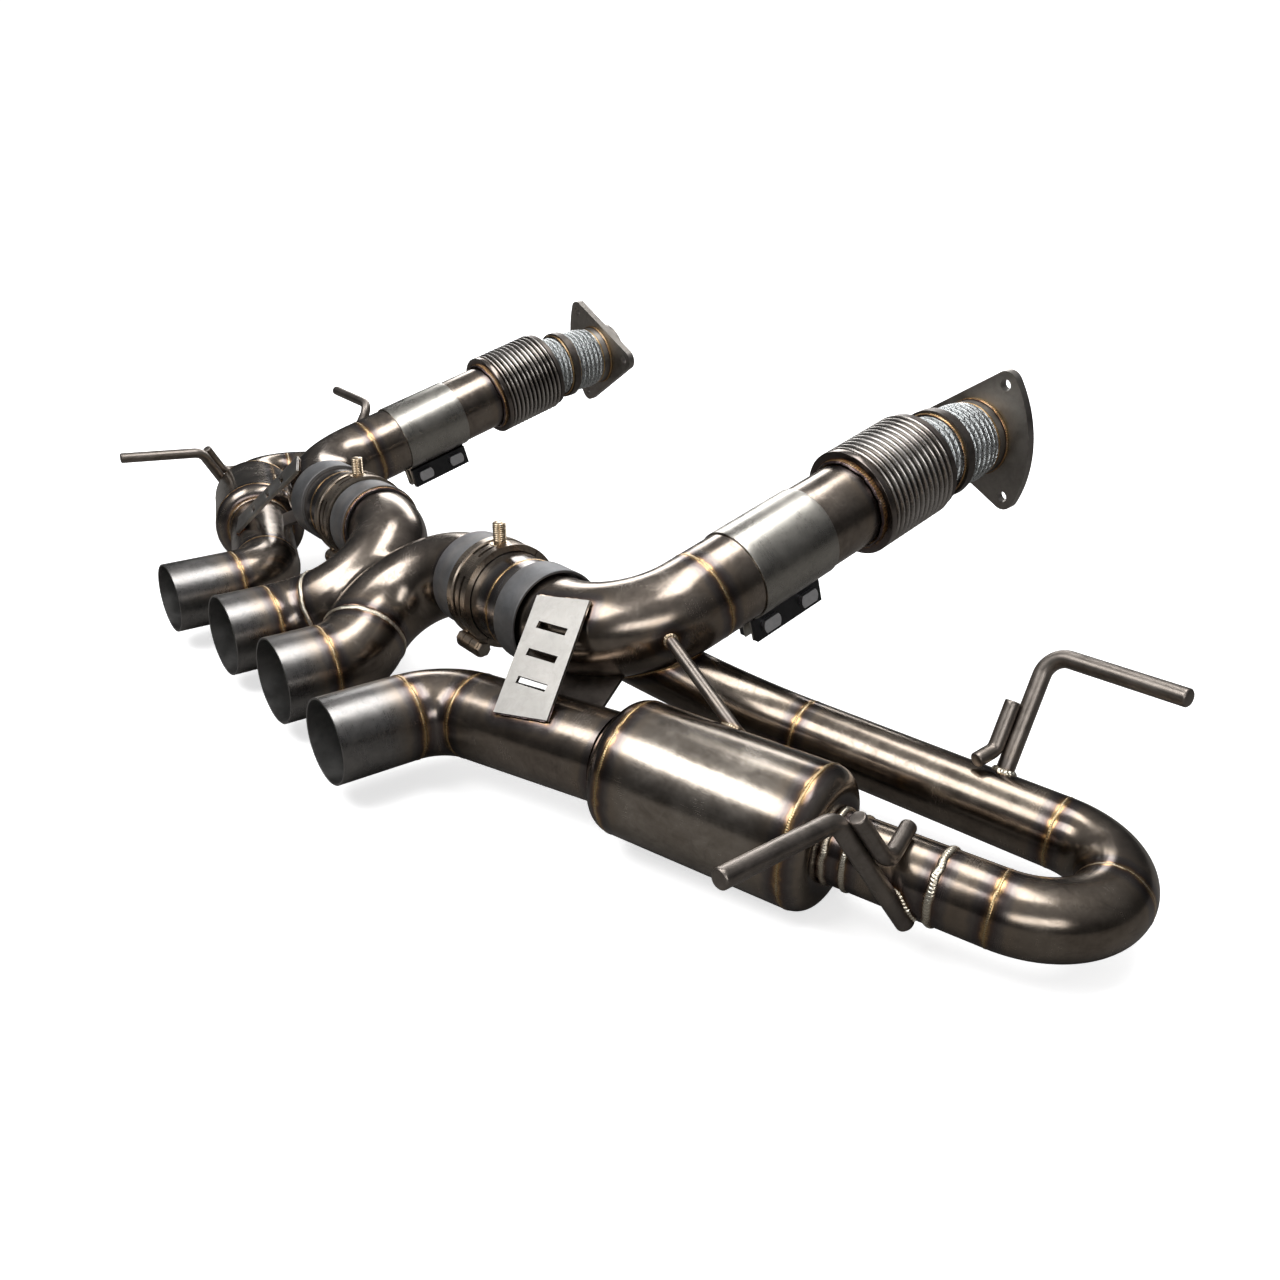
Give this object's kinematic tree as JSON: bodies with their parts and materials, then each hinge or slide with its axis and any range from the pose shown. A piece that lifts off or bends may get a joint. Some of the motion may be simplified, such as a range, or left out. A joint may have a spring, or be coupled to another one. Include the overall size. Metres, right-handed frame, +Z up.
{
  "type": "racing exhaust system",
  "caption": "Rear exhaust with flanged flexible inlets, a crossover pipe, side silencers on return bends, round tail tips and hanger rods.",
  "frame": {"origin": "centre of the bounding box in X and Y, on the floor under the silencers", "axes": "+X to the right-hand side of the car, +Y forward toward the inlets, +Z up"},
  "size_m": [1.3806, 0.6359, 0.2909],
  "materials": {
    "tube": "brushed, heat tinted",
    "shell": "rolled sheet, heat tinted",
    "tip": "satin",
    "ferrule": "bead blasted matte",
    "clamp": "straw tinted",
    "sleeve": "fine brushed",
    "plate": "satin",
    "bellows": "satin",
    "braid": "woven wire",
    "dark_steel": "scaled",
    "flange": "heat darkened",
    "black": "satin black",
    "zinc": "zinc plated",
    "seal": "graphite",
    "packing": "loose fibre"
  },
  "bodies": {
    "exhaust": {"lap_sleeve_right": "sleeve", "lap_sleeve_left": "sleeve", "lap_bars": "black", "lap_bolts": "zinc", "lap_nuts": "zinc", "main_bend_right": "tube", "main_bend_left": "tube", "outer_ferrule_right": "ferrule", "outer_ferrule_left": "ferrule", "inner_ferrule_right": "ferrule", "inner_ferrule_left": "ferrule", "clamp_lower_right": "clamp", "clamp_lower_left": "clamp", "clamp_pins": "clamp", "seal_rings": "seal", "branch_pipe_right": "tube", "branch_pipe_left": "tube", "return_leg_right": "tube", "return_leg_left": "tube", "return_bend_right": "tube", "return_bend_left": "tube", "front_leg_right": "tube", "front_leg_left": "tube", "silencer_shell_right": "shell", "silencer_shell_left": "shell", "silencer_core_right": "tube", "silencer_core_left": "tube", "silencer_packing_right": "packing", "silencer_packing_left": "packing", "tail_pipe_right": "tube", "tail_pipe_left": "tube", "outer_tip_right": "tip", "outer_tip_left": "tip", "crossover_pipe": "tube", "inner_elbows": "tube", "inner_tips": "tip", "tip_brackets": "plate", "support_brackets": "dark_steel", "brace_rods": "tube", "front_hanger_right": "dark_steel", "front_hanger_left": "dark_steel", "rear_hanger_right": "dark_steel", "rear_hanger_left": "dark_steel", "hanger_hooks": "dark_steel"},
    "flange_body_right": {"inlet_flange_right": "flange"},
    "flange_body_left": {"inlet_flange_left": "flange"},
    "flex_collar_body_right": {"flex_braid_right": "braid", "flex_collar_right": "dark_steel", "flex_liner_right": "tube"},
    "flex_collar_body_left": {"flex_braid_left": "braid", "flex_collar_left": "dark_steel", "flex_liner_left": "tube"},
    "inlet_pipe_body_right": {"bellows_right": "bellows", "inlet_pipe_right": "tube"},
    "inlet_pipe_body_left": {"bellows_left": "bellows", "inlet_pipe_left": "tube"},
    "clamp_half_right": {"clamp_upper_right": "clamp", "clamp_stud_right": "clamp"},
    "clamp_half_left": {"clamp_upper_left": "clamp", "clamp_stud_left": "clamp"}
  },
  "joints": [
    {"name": "clamp_hinge_right", "type": "hinge", "parent": "exhaust", "child": "clamp_half_right", "pos_m": [0.142, -0.1578, 0.07701], "axis": [1, 0, 0], "range_deg": [0, 85]},
    {"name": "inlet_slip_right", "type": "slide", "parent": "exhaust", "child": "inlet_pipe_body_right", "axis": [0, 0.9613, 0.2756], "range_m": [-0.008, 0.012]},
    {"name": "bellows_bend_right", "type": "hinge", "parent": "inlet_pipe_body_right", "child": "flex_collar_body_right", "pos_m": [0.3054, 0.16746, 0.20146], "axis": [1, 0, 0], "range_deg": [-6, 6], "stiffness_Nm_per_rad": 80, "deforming": ["bellows_right"]},
    {"name": "braid_bend_right", "type": "hinge", "parent": "flex_collar_body_right", "child": "flange_body_right", "pos_m": [0.3054, 0.26057, 0.22063], "axis": [0, -0.1392, 0.9903], "range_deg": [-6, 6], "stiffness_Nm_per_rad": 40, "deforming": ["flex_braid_right"]},
    {"name": "clamp_hinge_left", "type": "hinge", "parent": "exhaust", "child": "clamp_half_left", "pos_m": [-0.142, -0.1578, 0.07701], "axis": [1, 0, 0], "range_deg": [0, 85]},
    {"name": "inlet_slip_left", "type": "slide", "parent": "exhaust", "child": "inlet_pipe_body_left", "axis": [0, 0.9613, 0.2756], "range_m": [-0.008, 0.012]},
    {"name": "bellows_bend_left", "type": "hinge", "parent": "inlet_pipe_body_left", "child": "flex_collar_body_left", "pos_m": [-0.3054, 0.16746, 0.20146], "axis": [1, 0, 0], "range_deg": [-6, 6], "stiffness_Nm_per_rad": 80, "deforming": ["bellows_left"]},
    {"name": "braid_bend_left", "type": "hinge", "parent": "flex_collar_body_left", "child": "flange_body_left", "pos_m": [-0.3054, 0.26057, 0.22063], "axis": [0, -0.1392, 0.9903], "range_deg": [-6, 6], "stiffness_Nm_per_rad": 40, "deforming": ["flex_braid_left"]}
  ]
}
